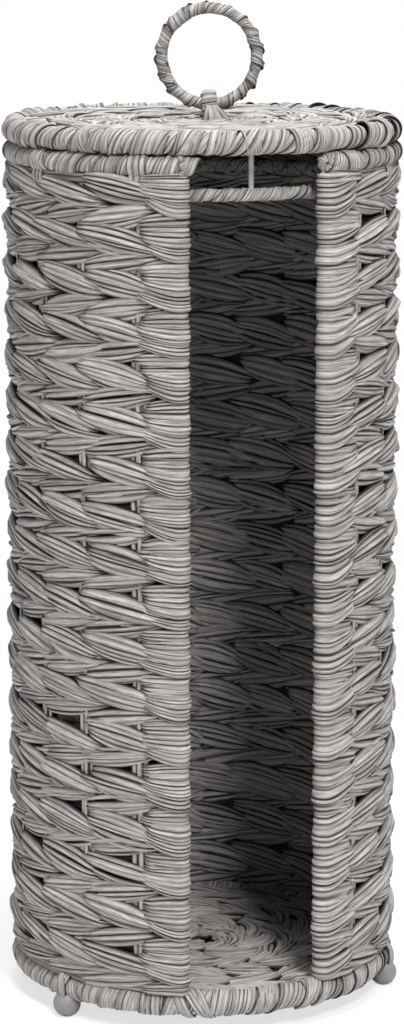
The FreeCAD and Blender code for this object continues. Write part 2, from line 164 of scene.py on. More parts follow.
class Ribbons:
    """Collects closed, pleated ribbons and makes one mesh of them."""

    def __init__(self, seed):
        self.rng = np.random.default_rng(seed)
        self.points, self.quads, self.caps = [], [], []
        self.grain, self.painted_shade = [], []
        self.total = 0

    def fold_edges(self, folds, rings):
        """Where the folds meet across the ribbon, from 0 to 1, drifting a little along it."""
        widths = self.rng.uniform(*FOLD_WIDTH_SHARES, folds)
        edges = running(widths) / widths.sum()
        drift = self.rng.uniform(-FOLD_DRIFT_SHARE, FOLD_DRIFT_SHARE, folds + 1) / folds
        drift[[0, -1]] = 0.0
        waves = np.linspace(0.0, self.rng.uniform(*FOLD_WAVES), rings)
        return edges + column(np.sin(waves + self.rng.uniform(0.0, math.pi))) * drift

    def fold_profile(self, folds):
        """Heights across the ribbon, and its painted shade there, darker in the deeper creases: folds that
        lean over uneven creases.
        """
        depths = self.rng.uniform(*CREASE_DEPTHS, folds + 1)
        depths[[0, -1]] = 1.0
        floors = CREASE_TOP - CREASE_DROP * depths
        floor = floors[:-1, None] + np.diff(floors)[:, None] * FOLD_STEP_SHARES
        lean = self.rng.choice([-1.0, 1.0]) * self.rng.uniform(*FOLD_LEANS, (folds, 1))
        crest = self.rng.uniform(*FOLD_CRESTS, (folds, 1)) + lean * (2.0 * FOLD_STEP_SHARES - 1.0)
        heights = floor + (crest - floor) * FOLD_ROUND
        nearest = np.where(FOLD_STEP_SHARES < 0.5, depths[:-1, None], depths[1:, None])
        dark = nearest * (1.0 - FOLD_ROUND)
        return np.append(heights.ravel(), floors[-1]), np.append(dark.ravel(), depths[-1])

    def add(self, path, outward, half_width, folds, fold_height, crown,
            tilt=0.0, shade=0.0, thickness=THICKNESS):
        """One ribbon along a path. Its pleated face looks outward. The shade is painted shade for how far it
        lies hidden.
        """
        rings = len(path)
        along = unit(np.gradient(path, axis=0))
        normal = square_to(along, outward)
        across = np.cross(normal, along)
        measures = (half_width, fold_height, crown, tilt, shade)
        half_width, fold_height, crown, tilt, shade = (
            column(np.broadcast_to(measure, rings)) for measure in measures)
        edges = self.fold_edges(folds, rings)
        places = edges[:, :-1, None] + np.diff(edges, axis=1)[:, :, None] * FOLD_STEP_SHARES
        places = 2.0 * np.concatenate([places.reshape(rings, -1), edges[:, -1:]], axis=1) - 1.0
        heights, dark = self.fold_profile(folds)
        top = crown * (1.0 - places ** 2) + tilt * places + fold_height * heights
        below = np.tile(UNDER_SHARES, (rings, 1))
        bottom = crown * (1.0 - below ** 2) + tilt * below - thickness
        offsets = np.concatenate([places, below], axis=1) * half_width
        rises = np.concatenate([top, bottom], axis=1)
        points = path[:, None] + across[:, None] * offsets[..., None] + normal[:, None] * rises[..., None]
        # Painted shade: darker in the creases and towards the ribbon's edges, with the hidden shade laid
        # over it. The plain back is painted fully shaded.
        lit = (1.0 - dark) * (1.0 - EDGE_SHADE_SHARE * np.abs(places) ** EDGE_SHADE_POWER)
        lit = np.concatenate([lit, np.zeros(below.shape)], axis=1)
        self.store(points, offsets, 1.0 - lit * (1.0 - shade))

    def store(self, points, offsets, painted_shade):
        """Keeps a closed tube of points, with their places in the paper's grain and how much painted shade
        they carry.
        """
        rings, columns = points.shape[:2]
        index = self.total + np.arange(rings * columns).reshape(rings, columns)
        beside = np.roll(index, -1, axis=1)
        quads = np.stack([index[:-1], index[1:], beside[1:], beside[:-1]], axis=-1)
        self.quads.append(quads.reshape(-1, 4))
        self.caps.extend([index[0], index[-1][::-1]])
        lengths = column(lengths_along(points.mean(axis=1)))
        seed = self.rng.uniform(*GRAIN_SEEDS)
        grain = np.stack(np.broadcast_arrays(offsets / MM, lengths / MM, seed), axis=-1)
        self.points.append(points.reshape(-1, 3))
        self.grain.append(grain.reshape(-1, 3))
        self.painted_shade.append(painted_shade.ravel())
        self.total += rings * columns

    def flat(self, parts):
        return np.concatenate(parts).astype(np.float32).ravel()

    def piece(self, name, body, slot, *stands_for):
        """Makes the mesh and hangs it on its body."""
        mesh = bpy.data.meshes.new(name)
        quads = np.concatenate(self.quads)
        corners = np.concatenate([quads.ravel(), *self.caps])
        sizes = np.concatenate([np.full(len(quads), 4), [len(cap) for cap in self.caps]])
        mesh.vertices.add(self.total)
        mesh.vertices.foreach_set("co", self.flat(self.points))
        mesh.loops.add(len(corners))
        mesh.loops.foreach_set("vertex_index", corners.astype(np.int32))
        mesh.polygons.add(len(sizes))
        mesh.polygons.foreach_set("loop_start", (np.cumsum(sizes) - sizes).astype(np.int32))
        grain = mesh.attributes.new("grain", "FLOAT_VECTOR", "POINT")
        grain.data.foreach_set("vector", self.flat(self.grain))
        painted_shade = mesh.attributes.new("painted_shade", "FLOAT", "POINT")
        painted_shade.data.foreach_set("value", self.flat(self.painted_shade))
        mesh.update(calc_edges=True)
        mesh.validate()
        mesh.shade_smooth()
        mesh.materials.append(PAPERS[slot])
        thing = bpy.data.objects.new(name, mesh)
        bpy.context.scene.collection.objects.link(thing)
        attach(thing, body)
        if stands_for:
            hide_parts(*stands_for)


# Materials

PAPER_LIGHT = (0.56, 0.533, 0.522, 1.0)
PAPER_WARM = (0.46, 0.437, 0.415, 1.0)
PAPER_DARK = (0.17, 0.16, 0.155, 1.0)
# The near-black colour that the painted shade multiplies into the paper
CREASE_SHADE = (0.06, 0.055, 0.052, 1.0)
# Waves per millimetre across and along a ribbon, and the noise's detail
COARSE_FIBRES = (1.5, 0.06, 2.0)
FINE_FIBRES = (4.0, 0.2, 3.0)
SPECKLES = (3.0, 1.6, 2.0)
# Strength and depth of the fibres' relief
FINE_BUMP = (0.35, 0.25 * MM)
COARSE_BUMP = (0.8, 0.6 * MM)
COAT_SPREAD = 0.08
WIRE_LIGHT = (0.36, 0.35, 0.34, 1.0)
WIRE_DARK = (0.26, 0.25, 0.245, 1.0)
WIRE_SKIN = dict(roughness=0.5, grain_size=4 * MM, bump_depth=0.05 * MM)
BALL_LIGHT = (0.21, 0.205, 0.2, 1.0)
BALL_DARK = (0.165, 0.16, 0.157, 1.0)
BALL_SKIN = dict(roughness=0.55, grain_size=3 * MM, bump_depth=0.06 * MM)
# A colour mix's inputs for its factor and its two colours, and its output
MIX_INPUTS = (0, 6, 7)
MIX_OUTPUT = 2


def new_material(name):
    material = bpy.data.materials.new(name)
    material.use_nodes = True
    return material, material.node_tree.nodes, material.node_tree.links


def new_node(nodes, kind, inputs=(), operation=None):
    """A shader node, with values for some of its inputs."""
    node = nodes.new("ShaderNode" + kind)
    if operation:
        node.operation = operation
    for name, value in dict(inputs).items():
        node.inputs[name].default_value = value
    return node


def ribbon_material(name, crease_full):
    """Creped paper: long fibres along each ribbon, a tint of its own, and painted shade in its creases, at
    its edges and where it lies hidden.
    """
    material, nodes, links = new_material(name)
    shader = nodes["Principled BSDF"]
    grain = new_node(nodes, "Attribute")
    grain.attribute_name = "grain"
    painted_shade = new_node(nodes, "Attribute")
    painted_shade.attribute_name = "painted_shade"
    parts = new_node(nodes, "SeparateXYZ")
    links.new(grain.outputs["Vector"], parts.inputs["Vector"])

    def fibres(across, along, detail):
        """Noise drawn out along the ribbon."""
        stretch = new_node(nodes, "VectorMath", {1: (across, along, 1.0)}, "MULTIPLY")
        links.new(grain.outputs["Vector"], stretch.inputs[0])
        noise = new_node(nodes, "TexNoise", {"Scale": 1.0, "Detail": detail, "Roughness": 0.6})
        links.new(stretch.outputs["Vector"], noise.inputs["Vector"])
        return noise.outputs["Fac"]

    def mixed(kind, factor, first, second):
        node = new_node(nodes, "Mix")
        node.data_type = "RGBA"
        node.blend_type = kind
        for place, value in zip(MIX_INPUTS, (factor, first, second)):
            if isinstance(value, bpy.types.NodeSocket):
                links.new(value, node.inputs[place])
            else:
                node.inputs[place].default_value = value
        return node.outputs[MIX_OUTPUT]

    def ramp(source, low, high, at_low, at_high):
        """A value's stretch from low to high, laid over another stretch."""
        limits = {"From Min": low, "From Max": high, "To Min": at_low, "To Max": at_high}
        node = new_node(nodes, "MapRange", limits)
        links.new(source, node.inputs["Value"])
        return node.outputs["Result"]

    def raised(height, strength, distance):
        node = new_node(nodes, "Bump", {"Strength": strength, "Distance": distance})
        links.new(height, node.inputs["Height"])
        return node

    own = new_node(nodes, "TexWhiteNoise")
    own.noise_dimensions = "1D"
    links.new(parts.outputs["Z"], own.inputs["W"])
    coarse = fibres(*COARSE_FIBRES)
    fine = fibres(*FINE_FIBRES)
    speckle = fibres(*SPECKLES)
    tint = mixed("MIX", own.outputs["Value"], PAPER_LIGHT, PAPER_WARM)
    body = mixed("MIX", ramp(coarse, 0.36, 0.6, 0.75, 0.0), tint, PAPER_DARK)
    streaked = mixed("MIX", ramp(fine, 0.36, 0.62, 0.5, 0.0), body, PAPER_DARK)
    worn = mixed("MIX", ramp(speckle, 0.6, 0.8, 0.0, 0.25), streaked, PAPER_LIGHT)
    # Painted shade: the mask darkens the paper towards the near-black shade colour in creases, at ribbon
    # edges, on ribbon backs and where ribbons lie hidden
    shade = ramp(painted_shade.outputs["Fac"], 0.06, crease_full, 0.0, 0.98)
    links.new(mixed("MULTIPLY", shade, worn, CREASE_SHADE), shader.inputs["Base Color"])
    links.new(ramp(fine, 0.3, 0.7, 0.82, 0.62), shader.inputs["Roughness"])
    fine_bump = raised(fine, *FINE_BUMP)
    coarse_bump = raised(coarse, *COARSE_BUMP)
    links.new(fine_bump.outputs["Normal"], coarse_bump.inputs["Normal"])
    links.new(coarse_bump.outputs["Normal"], shader.inputs["Normal"])
    shader.inputs["Specular IOR Level"].default_value = 0.12
    return material


def coated_material(name, light, dark, roughness, grain_size, bump_depth):
    """Paint or plastic with a faint mottle and an uneven skin."""
    material, nodes, links = new_material(name)
    shader = nodes["Principled BSDF"]
    place = new_node(nodes, "TexCoord")
    noise = new_node(nodes, "TexNoise", {"Scale": 1.0 / grain_size, "Detail": 4.0})
    links.new(place.outputs["Object"], noise.inputs["Vector"])
    colours = new_node(nodes, "ValToRGB")
    for stop, position, colour in zip(colours.color_ramp.elements, (0.3, 0.7), (dark, light)):
        stop.position = position
        stop.color = colour
    links.new(noise.outputs["Fac"], colours.inputs["Fac"])
    links.new(colours.outputs["Color"], shader.inputs["Base Color"])
    limits = {"To Min": roughness - COAT_SPREAD, "To Max": roughness + COAT_SPREAD}
    rough = new_node(nodes, "MapRange", limits)
    links.new(noise.outputs["Fac"], rough.inputs["Value"])
    links.new(rough.outputs["Result"], shader.inputs["Roughness"])
    bump = new_node(nodes, "Bump", {"Strength": 0.3, "Distance": bump_depth})
    links.new(noise.outputs["Fac"], bump.inputs["Height"])
    links.new(bump.outputs["Normal"], shader.inputs["Normal"])
    return material


PAPERS = {
    "ribbon_weave": ribbon_material("weave_paper", crease_full=0.72),
    "ribbon_winding": ribbon_material("winding_paper", crease_full=0.98),
}
wire_paint = coated_material("wire_paint", WIRE_LIGHT, WIRE_DARK, **WIRE_SKIN)
ball_plastic = coated_material("ball_plastic", BALL_LIGHT, BALL_DARK, **BALL_SKIN)


# The twined wall

# A leaf is a ribbon's pass over an upright, in one or more strands
STITCH_RINGS = 18
MOST_LEAF_FOLDS = 5
FOLDS_PER_MM = (0.55, 0.95)
TUCK = -1.8 * MM
LEAF_OVERLAP = 0.5 * MM
LEAF_CROWN = 2.2 * MM
LEAF_SKEW = 0.95
LEAF_FULLNESS = 0.7
LEAF_FALLS = (0.75, 1.3)
LEAF_HEIGHTS = (0.8 * MM, 1.3 * MM)
TIP_FOLD_SHARE = 0.3
RISE_SHARE = 0.2
SINK_SHARE = 0.8
# Painted shade where a leaf comes up from the weave and dives back into it, strongest at its start and tip
HIDDEN_SHADE = 0.85
HIDDEN_START_SHARE = 0.25
HIDDEN_END_SHARE = 0.22
STRAND_WIDTH_SHARES = (0.65, 1.35)
STRAND_LAP_SHARE = 1.2
SCATTER_SHARE = 0.045
STRAND_WANDER = 0.8 * MM
STRAND_UNEVEN = 0.3 * MM
STRAND_TWIST = 0.9 * MM
STRAND_CROWN = 0.5 * MM
STRAND_THICKNESS = 0.5 * MM
# The least width at a leaf's start and end
LEAF_TIP_SHARES = (0.3, 0.14)


def on_wall(angle, level, bulge):
    return polar(angle, WALL_RADIUS + bulge, level)


def inside_wall(angle, level, bulge):
    return polar(angle, WALL_RADIUS - bulge, level)


def stitch(ribbons, place, angles, levels, bulge, width, strands, crown=LEAF_CROWN, rings=STITCH_RINGS):
    """A leaf of pleated strands that come up at one end and dive at the other."""
    rng = ribbons.rng
    t = np.linspace(0.0, 1.0, rings)
    leaf = np.maximum(np.sin(np.pi * t ** LEAF_SKEW) ** LEAF_FULLNESS, np.where(t < 0.5, *LEAF_TIP_SHARES))
    fall = t ** rng.uniform(*LEAF_FALLS)
    rise = ease(t / RISE_SHARE) * (1.0 - SINK_SHARE * ease((t - 1.0 + RISE_SHARE) / RISE_SHARE))
    shown = ease(t / HIDDEN_START_SHARE) * (1.0 - ease((t - 1.0 + HIDDEN_END_SHARE) / HIDDEN_END_SHARE))
    hidden = HIDDEN_SHADE * (1.0 - shown)
    widths = rng.uniform(*STRAND_WIDTH_SHARES, strands)
    edges = 2.0 * running(widths) / widths.sum() - 1.0
    for low_edge, high_edge in zip(edges[:-1], edges[1:]):
        middle = (low_edge + high_edge) / 2
        first, last = np.array(angles) + rng.normal(0.0, SCATTER_SHARE, 2) * (angles[1] - angles[0])
        angle = first + (last - first) * t
        wander = rng.uniform(-STRAND_WANDER, STRAND_WANDER) * np.sin(np.pi * t)
        level = levels[0] + (levels[1] - levels[0]) * fall + middle * width / 2 * leaf + wander
        uneven = rng.uniform(-STRAND_UNEVEN, STRAND_UNEVEN)
        crest = bulge + LEAF_OVERLAP * middle - crown * middle ** 2 + uneven
        height = TUCK + (crest - TUCK) * rise
        path = place(angle, level, height)
        outward = place(angle, level, height + 1.0) - path
        across = np.cross(outward[0], path[1] - path[0])
        upward = np.sign(across @ (place(angle, level + MM, height) - path)[0])
        slope = -upward * crown * middle * (high_edge - low_edge)
        half = STRAND_LAP_SHARE * (high_edge - low_edge) / 2 * width / 2 * leaf
        folds = max(1, round(half.max() / MM * rng.uniform(*FOLDS_PER_MM)))
        fold_height = rng.uniform(*LEAF_HEIGHTS) * (TIP_FOLD_SHARE + (1.0 - TIP_FOLD_SHARE) * leaf)
        twist = rng.uniform(-STRAND_TWIST, STRAND_TWIST) * np.cos(np.pi * t)
        tilt = slope + twist + rng.uniform(-STRAND_UNEVEN, STRAND_UNEVEN)
        ribbons.add(path, outward, half, min(folds, MOST_LEAF_FOLDS), fold_height,
                    STRAND_CROWN * leaf, tilt, hidden, STRAND_THICKNESS)


# The two leaves of a course at each upright, as shares of its height: start, end and width
LEAF_SHARES = {"lower": (0.04, 0.4, 0.56), "upper": (0.88, 0.42, 0.64)}
LEAF_WIDTH_SHARES = {"lower": (0.86, 1.14), "upper": (0.86, 1.16)}
LEAF_SINKS = {"lower": 0.9 * MM, "upper": 0.0}
# How far a leaf reaches before and past its upright, as shares of the step between uprights
LEAF_START_SHARES = (1.12, 1.32)
LEAF_END_SHARES = (0.48, 0.62)
FIRST_END_SHARES = {"lower": (0.48, 0.62), "upper": (0.6, 0.9)}
LEAF_SWAY_SHARE = 0.08
TURN_MARGIN = 0.03


def course_stitches(ribbons, low, high, place, side, bulge, shift, strands):
    """All the leaves of one course on one side of the basket, from the slot to the rear upright."""
    rng = ribbons.rng
    pitch = high - low
    for number, stake in enumerate(STAKE_ANGLES):
        middle = stake + shift * STAKE_STEP
        for leaf, (start_share, end_share, width_share) in LEAF_SHARES.items():
            end_shares = FIRST_END_SHARES[leaf] if number == 0 else LEAF_END_SHARES
            start = min(middle + rng.uniform(*LEAF_START_SHARES) * STAKE_STEP, math.pi - TURN_MARGIN)
            end = max(middle - rng.uniform(*end_shares) * STAKE_STEP, POST_ANGLE + TURN_MARGIN)
            sway = rng.uniform(-LEAF_SWAY_SHARE, LEAF_SWAY_SHARE) * pitch
            levels = (low + start_share * pitch + sway, low + end_share * pitch + sway)
            width = width_share * pitch * rng.uniform(*LEAF_WIDTH_SHARES[leaf])
            bundle = max(1, strands - rng.integers(0, 2))
            lift = bulge - LEAF_SINKS[leaf]
            stitch(ribbons, place, (side * start, side * end), levels, lift, width, bundle)


REAR_LEVEL_SHARE = 0.45
REAR_REACH_SHARE = 0.85
REAR_WIDTH_SHARE = 0.9
REAR_START_RISE = 1.5 * MM
REAR_END_DROP = 1.0 * MM


def rear_stitch(ribbons, low, high, place, bulge, crown):
    """The leaf over the rear upright, where the twist turns round."""
    pitch = high - low
    middle = low + REAR_LEVEL_SHARE * pitch
    reach = REAR_REACH_SHARE * STAKE_STEP
    angles = (math.pi - reach, math.pi + reach)
    levels = (middle + REAR_START_RISE, middle - REAR_END_DROP)
    stitch(ribbons, place, angles, levels, bulge, REAR_WIDTH_SHARE * pitch, 3, crown)


def round_wall(steps):
    """Angles from the right slot post round the back to the left one."""
    return np.linspace(POST_ANGLE, FULL_TURN - POST_ANGLE, steps)


CORD_LIFT = 2.2 * MM
CORD_RIPPLE = 0.4 * MM
CORD_HALF = 2.2 * MM
# The cord carries some painted shade all along it, as it lies in the shadow under a rim
CORD_RIBBON = dict(folds=2, fold_height=0.6 * MM, crown=0.3 * MM, shade=0.3)


def rim_cord(ribbons, level):
    """A cord round the uprights that closes the weave against a rim."""
    angle = round_wall(120)
    path = polar(angle, WALL_RADIUS + CORD_LIFT + CORD_RIPPLE * np.sin(31.0 * angle), level)
    ribbons.add(path, outward_at(angle), CORD_HALF, **CORD_RIBBON)


CORE_DEPTH = 1.9 * MM
CORE_RIPPLE = 0.5 * MM
CORE_HALF_SHARE = 0.54
# The core band carries painted shade all along it, as it lies deep behind the leaves
CORE_RIBBON = dict(folds=6, fold_height=0.8 * MM, crown=0.0, thickness=0.5 * MM, shade=0.45)
WAVE_STARTS = (0.0, 6.0)


def core_band(ribbons, low, high):
    """The ribbon behind the uprights, which closes the gaps between the leaves."""
    angle = round_wall(96)
    wave = CORE_RIPPLE * np.sin(9.0 * angle + ribbons.rng.uniform(*WAVE_STARTS))
    path = polar(angle, WALL_RADIUS - CORE_DEPTH, (low + high) / 2 + wave)
    ribbons.add(path, outward_at(angle), CORE_HALF_SHARE * (high - low), **CORE_RIBBON)


# Each slot-edge ribbon as shares of a course, down from its top: where it leaves the first upright,
# and the top and bottom of its band on the post. The layers say how far it lies over the others and
# how many folds it has at most.
LEFT_EDGE_SHARES = [(0.94, 0.74, 1.03), (0.07, -0.04, 0.22), (0.32, 0.42, 0.8), (0.18, 0.14, 0.5)]
LEFT_EDGE_LAYERS = [(-0.4 * MM, 4), (-0.3 * MM, 4), (0.0 * MM, 6), (0.2 * MM, 5)]
RIGHT_EDGE_SHARES = [(0.94, 0.8, 1.05), (0.1, -0.04, 0.2), (0.02, 0.12, 0.52), (0.36, 0.5, 0.92)]
RIGHT_EDGE_LAYERS = [(-0.4 * MM, 3), (-0.3 * MM, 3), (0.0 * MM, 4), (0.3 * MM, 4)]
EDGE_SWAY_SHARE = 0.05
EDGE_LAP_SHARE = 0.1
EDGE_START_HALF_SHARE = 0.08
# Rings up to the post, round it and back behind it
EDGE_RINGS = (11, 11, 5)
EDGE_SKIN = 0.9 * MM
EDGE_START_SHARES = (-0.05, 0.2)
EDGE_RISE_SHARE = 0.4
EDGE_FAN_POWER = 1.5
EDGE_HEIGHTS = (1.0 * MM, 1.5 * MM)
EDGE_LOSS_SHARE = 0.3
# Painted shade where an edge ribbon comes up out of the weave by the first upright
EDGE_HIDDEN_SHADE = 0.8
EDGE_TILTS = (0.1 * MM, 0.8 * MM)
EDGE_START_CROWN = 1.1 * MM
EDGE_END_CROWN = 0.3 * MM


def slot_directions(side):
    """At a slot post, the directions out from the axis and across into the slot."""
    return outward_at(side * POST_ANGLE), outward_at(side * (POST_ANGLE - math.pi / 2))


def edge_wrap(ribbons, side, start_level, end_level, start_half, end_half, folds, lift):
    """A ribbon that fans out from the first upright, goes round the slot post and back inside."""
    rng = ribbons.rng
    reach = WALL_HALF - EDGE_SKIN + lift
    first = STAKE_ANGLES[0] + rng.uniform(*EDGE_START_SHARES) * STAKE_STEP
    out_rings, turn_rings, home_rings = EDGE_RINGS
    going = np.linspace(first, POST_ANGLE, out_rings + 1)[:-1]
    share = np.linspace(0.0, 1.0, out_rings + 1)[:-1]
    turn = np.linspace(0.0, math.pi, turn_rings)
    back = np.linspace(POST_ANGLE, first, home_rings + 1)[1:]
    risen = ease(share / EDGE_RISE_SHARE)
    radial, to_slot = slot_directions(side)
    round_post = swing(turn, radial, to_slot)
    path = np.concatenate([
        polar(side * going, WALL_RADIUS + TUCK + (reach - TUCK) * risen, 0.0),
        WALL_RADIUS * radial + reach * round_post,
        polar(side * back, WALL_RADIUS - reach, 0.0),
    ])
    outward = np.concatenate([outward_at(side * going), round_post, -outward_at(side * back)])
    rest = turn_rings + home_rings
    fan = np.concatenate([1.0 - (1.0 - share) ** EDGE_FAN_POWER, np.ones(rest)])
    path[:, 2] = start_level + (end_level - start_level) * fan
    half = start_half + (end_half - start_half) * fan
    fold_height = rng.uniform(*EDGE_HEIGHTS) * (1.0 - EDGE_LOSS_SHARE * fan)
    hidden = np.concatenate([EDGE_HIDDEN_SHADE * (1.0 - risen), np.zeros(rest)])
    tilt = side * rng.uniform(*EDGE_TILTS)
    crown = np.concatenate([ease(share), np.ones(rest)])
    crown = EDGE_START_CROWN + (EDGE_END_CROWN - EDGE_START_CROWN) * crown
    ribbons.add(path, outward, half, folds, fold_height, crown, tilt, hidden)


def course_edges(ribbons, low, high):
    """The bundles that fan over the two slot posts: level ones, and broad ones that sweep down."""
    pitch = high - low
    rng = ribbons.rng
    left = zip(LEFT_EDGE_SHARES, LEFT_EDGE_LAYERS)
    right = zip(RIGHT_EDGE_SHARES, RIGHT_EDGE_LAYERS)
    for side, edge in ((-1, left), (1, right)):
        for (start, top, bottom), (lift, most_folds) in edge:
            sway = rng.uniform(-EDGE_SWAY_SHARE, EDGE_SWAY_SHARE, 3)
            start_level = high - (start + sway[0]) * pitch
            end_level = high - ((top + bottom) / 2 + sway[1]) * pitch
            end_half = (bottom - top + EDGE_LAP_SHARE + sway[2]) / 2 * pitch
            folds = rng.integers(most_folds - 1, most_folds + 1)
            start_half = EDGE_START_HALF_SHARE * pitch
            edge_wrap(ribbons, side, start_level, end_level, start_half, end_half, folds, lift)


SLEEVE_SPACING = 2.5 * MM
SLEEVE_LIFT = 0.1 * MM
SLEEVE_SIDE_DROP = 0.7 * MM
SLEEVE_RIPPLE = 0.35 * MM
SLEEVE_WAVE = 21.0 * MM
SLEEVE_WIDTHS = (2.4 * MM, 3.1 * MM)
SLEEVE_RIBBON = dict(folds=1, fold_height=0.45 * MM, crown=0.2 * MM, thickness=0.5 * MM)


def stake_sleeves():
    """Narrow strands laid up each thin upright, which show between the leaves."""
    ribbons = Ribbons(90)
    rng = ribbons.rng
    level = np.linspace(COURSE_LEVELS[0][0], COURSE_LEVELS[-1][1], 60)
    for name in STAKES:
        for beside in (-1.0, 0.0, 1.0):
            wave = SLEEVE_RIPPLE * np.sin(level / SLEEVE_WAVE + rng.uniform(*WAVE_STARTS))
            angle = bearing(name) + (SLEEVE_SPACING * beside + wave) / WALL_RADIUS
            lift = STAKE_RADIUS + SLEEVE_LIFT - SLEEVE_SIDE_DROP * abs(beside)
            half = rng.uniform(*SLEEVE_WIDTHS) / 2
            path = polar(angle, WALL_RADIUS + lift, level)
            ribbons.add(path, outward_at(angle), half, **SLEEVE_RIBBON)
    ribbons.piece("stake_sleeves", "basket", "ribbon_weave")


OUTER_BULGE = 3.6 * MM
OUTER_LEAVES = dict(bulge=OUTER_BULGE, shift=0.0, strands=3)
INNER_LEAVES = dict(bulge=3.0 * MM, shift=0.5, strands=1)
REAR_INNER_BULGE = 3.2 * MM
REAR_INNER_CROWN = 0.4 * MM
CORD_INSET = 1.2 * MM


def wall_weave():
    """Every course of the wall: leaves inside and out, and fans round the slot posts."""
    for number, (low, high) in enumerate(COURSE_LEVELS):
        ribbons = Ribbons(100 + number)
        core_band(ribbons, low, high)
        for side in (-1, 1):
            course_stitches(ribbons, low, high, inside_wall, side, **INNER_LEAVES)
            course_stitches(ribbons, low, high, on_wall, side, **OUTER_LEAVES)
        rear_stitch(ribbons, low, high, inside_wall, REAR_INNER_BULGE, REAR_INNER_CROWN)
        rear_stitch(ribbons, low, high, on_wall, OUTER_BULGE, LEAF_CROWN)
        course_edges(ribbons, low, high)
        if number == 0:
            rim_cord(ribbons, low + CORD_INSET)
        if number == len(COURSES) - 1:
            rim_cord(ribbons, high - CORD_INSET)
        name = f"wall_weave_{number + 1:02d}"
        ribbons.piece(name, "basket", "ribbon_weave", COURSES[number])


# Windings

WRAP_RINGS = 24
WRAP_CROWN = 0.25 * MM
WRAP_THICKNESS = 0.7 * MM
WRAP_LAP_SHARE = 1.35
WRAP_LIFTS = (-0.55 * MM, 0.25 * MM)
WRAP_HEIGHTS = (0.25 * MM, 0.5 * MM)
WRAP_TILTS = (0.2 * MM, 0.75 * MM)
WRAP_LEAN_SHARES = (0.45, 1.55)
OWN_LEAN_SHARES = (0.93, 1.07)
# A winding at least this thick has steps and folds of full height
FULL_REACH = 4.2 * MM
# How far a winding's middle surface lies inside its CAD tube
WINDING_SKIN = 0.55 * MM
BROAD_TURN_CHANCE = 0.7
BROAD_WIDTH_SHARES = (0.7, 1.4)
BROAD_FOLDS = (5, 9)
NARROW_WIDTH_SHARES = (0.3, 0.5)
NARROW_FOLDS = (1, 3)
NARROW_TURNS = (2, 4)
CROSSING_WIDTHS = (6.0 * MM, 10.5 * MM)
CROSSING_SLANT_SHARES = (-0.5, 1.0)
CROSSING_LIFTS = (0.25 * MM, 0.5 * MM)
CROSSING_HEIGHT = 0.35 * MM
CROSSING_TILT = 0.2 * MM
PLACE_SHARES = (0.15, 0.85)
RIM_MARGIN = 8.0 * MM


def ring_spine(radius, height):
    """A level ring: its points by length along it, with the outward and upward directions there."""
    def spine(length):
        out = outward_at(length / radius)
        return radius * out + height * UP, out, np.broadcast_to(UP, out.shape)
    return spine


def line_spine(points, outward):
    """Any line through many points, with the outward directions at them, and its length."""
    along = unit(np.gradient(points, axis=0))
    first = square_to(along, outward)
    second = np.cross(along, first)
    lengths = lengths_along(points)

    def spine(length):
        def at(values):
            return np.stack([np.interp(length, lengths, axis_values) for axis_values in values.T], axis=-1)
        return at(points), unit(at(first)), unit(at(second))
    return spine, lengths[-1]


def wrap(ribbons, spine, place, width, reaches, slant, folds, fold_height, tilt, seam=math.pi):
    """One turn of ribbon round a spine. The reaches are the turn's two half widths across the spine."""
    turn = np.linspace(seam, seam + FULL_TURN, WRAP_RINGS)
    centre, first, second = spine(place + slant * (turn - seam - math.pi) / FULL_TURN)
    cosine, sine = column(np.cos(turn)), column(np.sin(turn))
    path = centre + reaches[0] * cosine * first + reaches[1] * sine * second
    outward = unit(cosine * first / reaches[0] + sine * second / reaches[1])
    ribbons.add(path, outward, width / 2, folds, fold_height, WRAP_CROWN, tilt, thickness=WRAP_THICKNESS)


def wrap_run(rng, band):
    """The next few turns: one broad band, or a group of narrow pleats. Gives widths and fold counts."""
    if rng.random() < BROAD_TURN_CHANCE:
        return [(band * rng.uniform(*BROAD_WIDTH_SHARES), rng.integers(*BROAD_FOLDS))]
    turns = range(rng.integers(*NARROW_TURNS))
    return [(band * rng.uniform(*NARROW_WIDTH_SHARES), rng.integers(*NARROW_FOLDS)) for _ in turns]


def wind(ribbons, spine, start, end, reaches, band, slant, seam=math.pi):
    """Overlapping turns of uneven width from one place on a spine to another."""
    rng = ribbons.rng
    place = start
    thick_share = min(1.0, max(reaches) / FULL_REACH)
    while place < end:
        lean = slant * rng.uniform(*WRAP_LEAN_SHARES)
        for width, folds in wrap_run(rng, band):
            lift = rng.uniform(*WRAP_LIFTS) * thick_share
            lifted = (reaches[0] + lift, reaches[1] + lift)
            fold_height = rng.uniform(*WRAP_HEIGHTS) * thick_share
            tilt = rng.uniform(*WRAP_TILTS) * thick_share ** 2
            own_lean = lean * rng.uniform(*OWN_LEAN_SHARES)
            lapped = WRAP_LAP_SHARE * width
            wrap(ribbons, spine, place + width / 2, lapped, lifted, own_lean, folds, fold_height, tilt, seam)
            place += width


def uneven_places(rng, start, end, step):
    """Places along a spine, unevenly spaced."""
    count = int((end - start) / step)
    return start + (np.arange(count) + rng.uniform(*PLACE_SHARES, count)) * step


def crossing_bands(ribbons, spine, places, reach, most_slant):
    """Broad bands that cross a rim's winding at slants of their own."""
    rng = ribbons.rng
    for place in places:
        width = rng.uniform(*CROSSING_WIDTHS)
        slant = rng.uniform(*CROSSING_SLANT_SHARES) * most_slant
        lifted = reach + rng.uniform(*CROSSING_LIFTS)
        folds = rng.integers(*BROAD_FOLDS)
        wrap(ribbons, spine, place, width, (lifted, lifted), slant, folds, CROSSING_HEIGHT, CROSSING_TILT)


